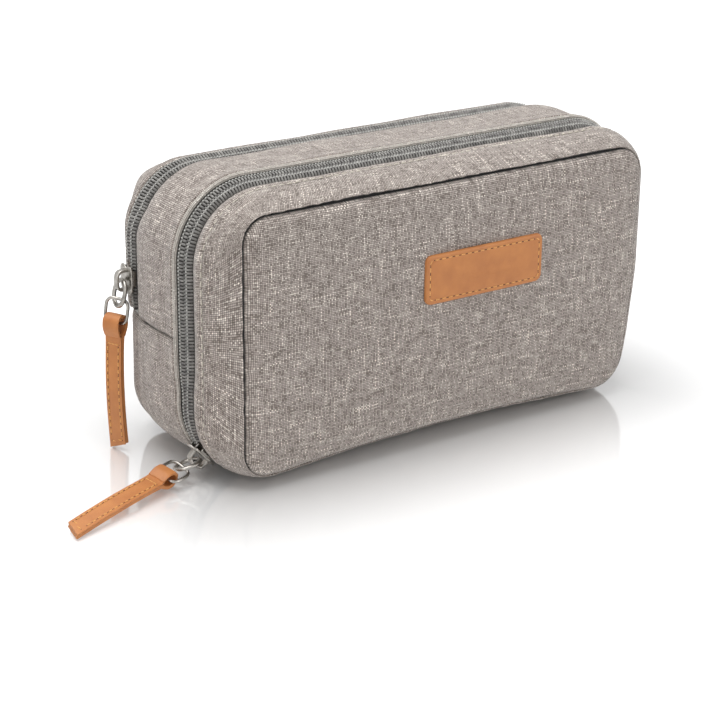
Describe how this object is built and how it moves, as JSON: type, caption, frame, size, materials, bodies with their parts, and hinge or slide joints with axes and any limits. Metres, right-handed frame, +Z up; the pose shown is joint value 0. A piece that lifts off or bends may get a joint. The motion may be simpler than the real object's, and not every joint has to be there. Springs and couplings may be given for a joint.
{
  "type": "insulin cooling case",
  "caption": "Soft insulated case for insulin pens, with a zipped front cover, a zipped rear flap and leather zip pulls.",
  "frame": {"origin": "middle of the flat underside, on the table", "axes": "+X along the case to the right, the front cover towards -Y, +Z up"},
  "size_m": [0.2549, 0.0834, 0.1067],
  "materials": {
    "heather_fabric": "heathered plain weave",
    "zip_tape": "woven tape",
    "zip_coil": "nylon coil",
    "foam": "closed-cell foam",
    "foil_lining": "aluminised film",
    "elastic": "ribbed elastic",
    "net": "knitted net",
    "gel_film": "soft film",
    "leather": "tan, satin",
    "nickel": "satin nickel plate"
  },
  "bodies": {
    "main_case": {"middle_gusset": "heather_fabric", "base_gusset": "heather_fabric", "middle_foam": "foam", "middle_lining": "foil_lining", "base_foam": "foam", "base_lining": "foil_lining", "hinge_web_body": "zip_tape", "front_zip_body_tape": "zip_tape", "front_zip_body_coil": "zip_coil", "rear_zip_body_tape": "zip_tape", "rear_zip_body_coil": "zip_coil", "back_panel_lower": "heather_fabric", "back_panel_foam_lower": "foam", "back_panel_lining_lower": "foil_lining", "divider": "foil_lining", "pen_band_left": "elastic", "pen_band_right": "elastic", "cold_pack": "gel_film", "cold_pack_net": "net"},
    "front_cover": {"cover_gusset": "heather_fabric", "cover_foam": "foam", "cover_lining": "foil_lining", "hinge_web_cover": "zip_tape", "front_zip_cover_tape": "zip_tape", "front_zip_cover_coil": "zip_coil", "front_panel": "heather_fabric", "front_panel_foam": "foam", "front_panel_lining": "foil_lining", "cover_pocket_net": "net", "cover_pocket_hem": "elastic", "label_patch": "leather"},
    "rear_flap": {"rear_gusset": "heather_fabric", "rear_zip_flap_tape": "zip_tape", "rear_zip_flap_coil": "zip_coil", "back_panel_upper": "heather_fabric", "back_panel_foam_upper": "foam", "back_panel_lining_upper": "foil_lining"},
    "front_slider": {"front_slider": "nickel"},
    "front_link": {"front_link": "nickel"},
    "front_ring": {"front_ring": "nickel"},
    "front_strap": {"front_strap": "leather"},
    "rear_slider": {"rear_slider": "nickel"},
    "rear_link": {"rear_link": "nickel"},
    "rear_ring": {"rear_ring": "nickel"},
    "rear_strap": {"rear_strap": "leather"}
  },
  "joints": [
    {"name": "front_cover_hinge", "type": "hinge", "parent": "main_case", "child": "front_cover", "pos_m": [0, -0.016, 0], "axis": [1, 0, 0], "range_deg": [0, 170]},
    {"name": "rear_flap_hinge", "type": "hinge", "parent": "main_case", "child": "rear_flap", "pos_m": [0, 0.041, 0.051], "axis": [-1, 0, 0], "range_deg": [0, 150]},
    {"name": "front_slider_travel", "type": "hinge", "parent": "main_case", "child": "front_slider", "pos_m": [-0.072, -0.016, 0.0268], "axis": [0, 1, 0], "range_deg": [0, 40]},
    {"name": "rear_slider_travel", "type": "slide", "parent": "main_case", "child": "rear_slider", "axis": [0, 0, 1], "range_m": [0, 0.012]},
    {"name": "front_link_swing", "type": "hinge", "parent": "front_slider", "child": "front_link", "pos_m": [-0.09428, -0.016, 0.00674], "axis": [-0.1564, 0.9877, 0], "range_deg": [-45, 30]},
    {"name": "front_ring_swing", "type": "hinge", "parent": "front_link", "child": "front_ring", "pos_m": [-0.10328, -0.01742, 0.00546], "axis": [-0.2588, 0.9659, 0], "range_deg": [-12, 9]},
    {"name": "front_strap_swing", "type": "hinge", "parent": "front_ring", "child": "front_strap", "pos_m": [-0.10934, -0.01905, 0.00491], "axis": [-0.342, 0.9397, 0], "range_deg": [-16, 25]},
    {"name": "rear_link_swing", "type": "hinge", "parent": "rear_slider", "child": "rear_link", "pos_m": [-0.10198, 0.021, 0.064], "axis": [0, 1, 0], "range_deg": [0, 110]},
    {"name": "rear_ring_swing", "type": "hinge", "parent": "rear_link", "child": "rear_ring", "pos_m": [-0.10421, 0.021, 0.05507], "axis": [0, 1, 0], "range_deg": [-2, 12]},
    {"name": "rear_strap_swing", "type": "hinge", "parent": "rear_ring", "child": "rear_strap", "pos_m": [-0.10519, 0.021, 0.04885], "axis": [0, 1, 0], "range_deg": [-4, 25]}
  ]
}
